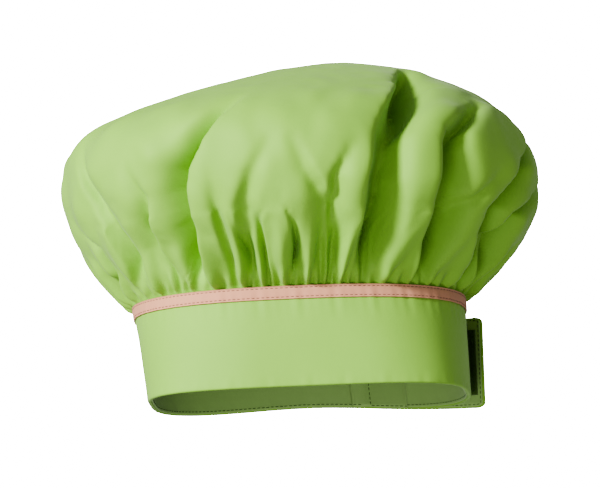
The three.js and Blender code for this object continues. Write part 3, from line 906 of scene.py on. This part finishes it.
def disc_mesh(radii, segments, spacing):
    """A flat disc of rings whose segments halve towards the middle: polar coordinates and faces."""
    polar, faces, starts, counts = [(0.0, 0.0)], [], [0], [1]
    for radius in radii:
        count = segments
        while count > 8 and 2 * math.pi * radius / count < spacing:
            count //= 2
        starts.append(len(polar))
        counts.append(count)
        polar += [(radius, 2 * math.pi * k / count) for k in range(count)]
    for inner, (a, b, m, n) in enumerate(zip(starts, starts[1:], counts, counts[1:])):
        for k in range(n if inner == 0 else m):
            if inner == 0:
                faces.append((a, b + k, b + (k + 1) % n))
            elif m == n:
                faces.append((a + k, b + k, b + (k + 1) % n, a + (k + 1) % n))
            else:
                middle, last = b + 2 * k + 1, b + (2 * k + 2) % n
                faces.append((a + k, b + 2 * k, middle))
                faces.append((a + k, middle, a + (k + 1) % m))
                faces.append((a + (k + 1) % m, middle, last))
    return np.array(polar), faces, counts


def wall_curve(t):
    """A wall that drops from a crisp crest and eases into the dip; t runs from 0 to 1."""
    return 1 - (1 - t) ** 1.6


def creases(radius, angle):
    """Small irregular waves over the flat cloth, in no one direction."""
    rng = np.random.default_rng(21)
    x, y = radius * np.cos(angle), radius * np.sin(angle)
    total = np.zeros_like(x)
    for _ in range(CREASES):
        wavelength = rng.uniform(*CREASE_LENGTHS) * MM
        heading, phase = rng.uniform(0, 2 * math.pi, 2)
        total += wavelength / (180 * MM) * np.sin(
            2 * math.pi * (x * math.cos(heading) + y * math.sin(heading)) / wavelength + phase
        )
    return total


def crown_shape(radius, angle, ripple=0.0):
    """Where each point of the flat disc goes on the puffed crown, and how deep it dips there."""
    far, line = crown_profile()
    reach, height = np.interp(radius, far, line[:, 0]), np.interp(radius, far, line[:, 1])
    degrees = angle / DEG
    neck = band_point(degrees, reach - RING_TOP[0], np.full_like(reach, BAND_HEIGHT))
    oval = (np.abs(np.cos(angle) / CROWN_A) ** 2 + np.abs(np.sin(angle) / CROWN_B) ** 2) ** -0.5 / CROWN_A
    widest_at = np.interp(-CROWN_WIDEST, -line[:, 1], far)
    on_ring = np.where(
        radius > widest_at, 1 - np.clip((reach - RING_TOP[0]) / (CROWN_A - RING_TOP[0]), 0, 1), 0.0
    )
    up = 1 - radius / far[-2]  # 0 at the neck, 1 at the middle of the top
    depth = np.zeros_like(radius)
    for crest, deep, spread, wall, side in PLEATS:
        shares, at = zip(*crest)
        away = (degrees - np.interp(up, shares, at) + 180) % 360 - 180
        across = side * away * DEG * np.maximum(reach, 30 * MM) / MM
        narrow = lerp(0.4, 1.0, smooth(up, 0.0, 0.16))
        narrow = narrow * lerp(1.0, 0.45, smooth(up, shares[-1] - 0.3, shares[-1]))
        dip = np.exp(-((np.maximum(across - wall * narrow, 0) / (spread * narrow)) ** 1.5))
        dip = dip * wall_curve(np.clip(across / (wall * narrow), 0, 1))
        kept = smooth(up, 0.0, 0.08) * (1 - smooth(up, shares[-1] - 0.16, shares[-1] + 0.04))
        depth -= deep * MM * kept * dip
    wander = angle + 0.035 * np.sin(5 * angle) + 0.02 * np.sin(11 * angle + 1)
    small = np.sin(PUCKERS * wander) * (1 - smooth(up, 0.02, 0.07))
    large = np.sin(PUCKERS / 2 * wander + 0.7) * smooth(up, 0.0, 0.04) * (1 - smooth(up, 0.08, 0.20))
    depth += PUCKER_DEPTH * (0.7 * small + large) * smooth(up, -0.02, 0.01)
    calm = smooth(up, 0.0, 0.05) * lerp(1.0, 0.4, smooth(up, 0.3, 0.7))
    depth = depth + ripple * creases(radius, angle) * calm
    step = np.gradient(line, axis=0) / np.gradient(far)[:, None]
    out_r, out_z = -np.interp(radius, far, step[:, 1]), np.interp(radius, far, step[:, 0])
    x = lerp(oval * reach * np.cos(angle), neck[:, 0], on_ring) + depth * out_r * np.cos(angle)
    y = lerp(oval * reach * np.sin(angle), neck[:, 1], on_ring) + depth * out_r * np.sin(angle)
    height = height + depth * out_z
    lean = CROWN_LEAN * smooth(height, CROWN_WIDEST, CROWN_TOP) ** 2
    slump = smooth(height, CROWN_NECK, CROWN_WIDEST) * CROWN_SLUMP
    return np.stack([x + lean, y, height - slump * x], -1), depth


def simulate_cloth(piece, target, pinned, hold, frames, gather):
    """Blender's cloth, cut with a little slack, held loosely to its gathered place and settled."""
    piece.shape_key_add(name="Basis")
    key = piece.shape_key_add(name="gathered")
    key.data.foreach_set("co", target.astype(np.float32).ravel())
    for value, at in ((0.0, 1), (1.0, gather)):
        key.value = value
        key.keyframe_insert("value", frame=at)
    for curve in piece.data.shape_keys.animation_data.action.fcurves:
        for point in curve.keyframe_points:
            point.interpolation = "LINEAR"
    group = piece.vertex_groups.new(name="hold")
    levels = np.round(np.where(pinned, 1.0, hold), 2)
    for level in np.unique(levels):
        group.add([int(i) for i in np.nonzero(levels == level)[0]], float(level), "REPLACE")
    cloth = piece.modifiers.new("cloth", "CLOTH")
    settings = cloth.settings
    settings.quality = 6
    settings.mass = 0.02
    settings.air_damping = 1.0
    settings.tension_stiffness = settings.compression_stiffness = 20
    settings.shear_stiffness = 6
    settings.bending_stiffness = BENDING
    settings.tension_damping = settings.compression_damping = settings.shear_damping = 1.0
    settings.bending_damping = 0.5
    settings.vertex_group_mass = "hold"
    settings.pin_stiffness = 1.0
    settings.use_pressure = True
    settings.uniform_pressure_force = PRESSURE
    settings.effector_weights.gravity = 0.05
    cloth.collision_settings.use_collision = False
    cloth.point_cache.frame_start, cloth.point_cache.frame_end = 1, frames
    scene = bpy.context.scene
    for step in range(1, frames + 1):
        scene.frame_set(step)
    shown = piece.evaluated_get(bpy.context.evaluated_depsgraph_get())
    points = np.zeros(len(shown.data.vertices) * 3, np.float32)
    shown.data.vertices.foreach_get("co", points)
    scene.frame_set(1)
    return points.reshape(-1, 3).astype(float)


def even_rings(radii, counts, ripple):
    """The gathered shape ring by ring, with the points shared out evenly over nearby folds."""
    fine = np.linspace(-math.pi, math.pi, 4097)
    window = np.hanning(683)
    window /= window.sum()
    rings, depths = [crown_shape(np.zeros(1), np.zeros(1))[0]], [np.zeros(1)]
    for radius, count in zip(radii, counts):
        line, _ = crown_shape(np.full_like(fine, radius), fine)
        along = np.concatenate([[0], np.cumsum(np.linalg.norm(np.diff(line, axis=0), axis=1))])
        ahead = (along / along[-1] * 2 * math.pi - math.pi - fine)[:-1]
        broad = np.convolve(np.concatenate([ahead[-341:], ahead, ahead[:341]]), window, mode="valid")
        local = fine + np.append(ahead - broad, ahead[0] - broad[0])
        spread = np.arange(count) / count * 2 * math.pi - math.pi
        turns = np.interp(spread, local, fine, period=2 * math.pi)
        ring, depth = crown_shape(np.full_like(turns, radius), turns, ripple)
        rings.append(ring)
        depths.append(depth)
    return np.vstack(rings), np.concatenate(depths)


def make_crown():
    far, _ = crown_profile()
    cut, neck_at = far[-1], far[-2]
    radii = np.linspace(0, neck_at, CLOTH_RINGS)[1:].tolist() + [(neck_at + cut) / 2, cut]
    polar, faces, counts = disc_mesh(radii, CLOTH_SEGMENTS, CLOTH_SPACING)
    radius, angle = polar[:, 0], polar[:, 1] - math.pi
    target, depth = even_rings(radii, counts[1:], 0.0)
    loose, _ = even_rings(radii, counts[1:], RIPPLE)
    pinned = radius > neck_at - 1e-6
    raw = new_object("crown_cut", loose, faces)
    folded = np.clip(np.abs(depth) / (10 * MM), 0, 1)
    hold = lerp(lerp(HOLD, FOLD_HOLD, folded), RIM_HOLD, smooth(radius / neck_at, 0.9, 1.0))
    settled = simulate_cloth(raw, target, pinned, hold, CLOTH_FRAMES, GATHER_FRAMES)
    bpy.data.objects.remove(raw)
    flat = np.stack([radius * np.cos(angle), radius * np.sin(angle)], -1)
    crown = new_object("crown_cloth", settled, faces, uv=flat)
    fine = crown.modifiers.new("fine", "SUBSURF")
    fine.levels = fine.render_levels = 1
    finish_piece(crown, "hat", "cloth", CLOTH, "crown")


add_camera()
add_stage()
make_crown()
make_band()
make_tape()
make_band_stitching()
make_tail()
make_closure()

CARRIED_OVER = {
    "tail_interlining": BUCKRAM,
    "gathering_thread": GREEN_THREAD,
    "crown_hem_stitch": GREEN_THREAD,
    "end_stitch": GREEN_THREAD,
}
for name, material in CARRIED_OVER.items():
    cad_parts[name].data.materials.clear()
    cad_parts[name].data.materials.append(material)
